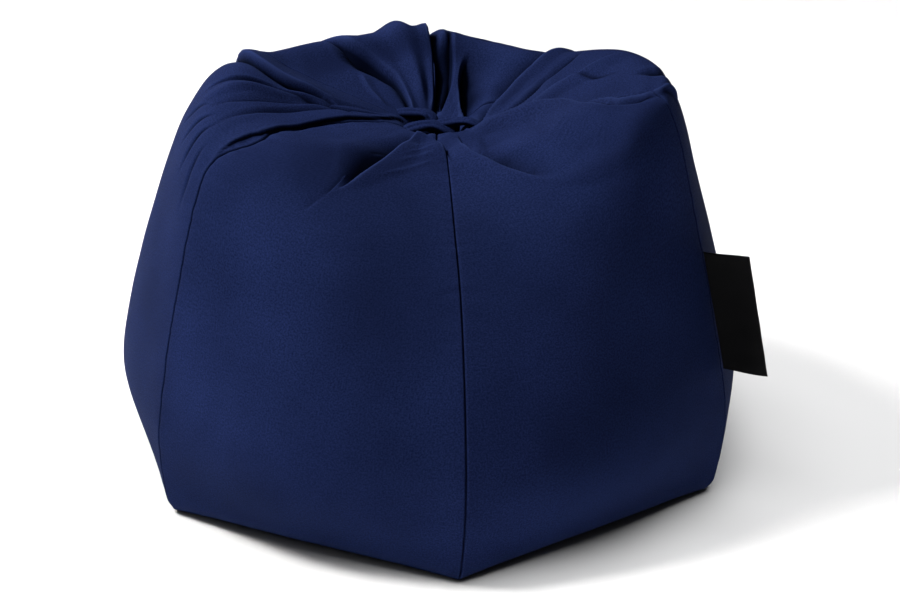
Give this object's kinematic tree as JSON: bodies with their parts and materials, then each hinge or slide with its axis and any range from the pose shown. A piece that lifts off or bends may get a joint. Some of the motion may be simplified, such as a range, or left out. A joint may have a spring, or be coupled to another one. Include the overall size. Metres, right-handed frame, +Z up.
{
  "type": "bean bag",
  "caption": "Filled bean bag seat of plain cloth: tapered side panels, flat six-sided base, gathered neck and a side label.",
  "frame": {"origin": "on the floor, under the middle of the base", "axes": "+Z up; -Y towards the front seam that faces the viewer; +X towards the side with the label"},
  "size_m": [0.8644, 0.8688, 0.5541],
  "materials": {
    "cover_cloth": "matt, closely woven navy cloth",
    "base_cloth": "matt, closely woven navy cloth",
    "label_cloth": "smooth black woven tape"
  },
  "bodies": {
    "root": {"panel_front_right": "cover_cloth", "panel_right": "cover_cloth", "panel_back_right": "cover_cloth", "panel_back_left": "cover_cloth", "panel_left": "cover_cloth", "panel_front_left": "cover_cloth", "base_panel": "base_cloth", "neck_gather": "cover_cloth", "label": "label_cloth"}
  },
  "joints": []
}
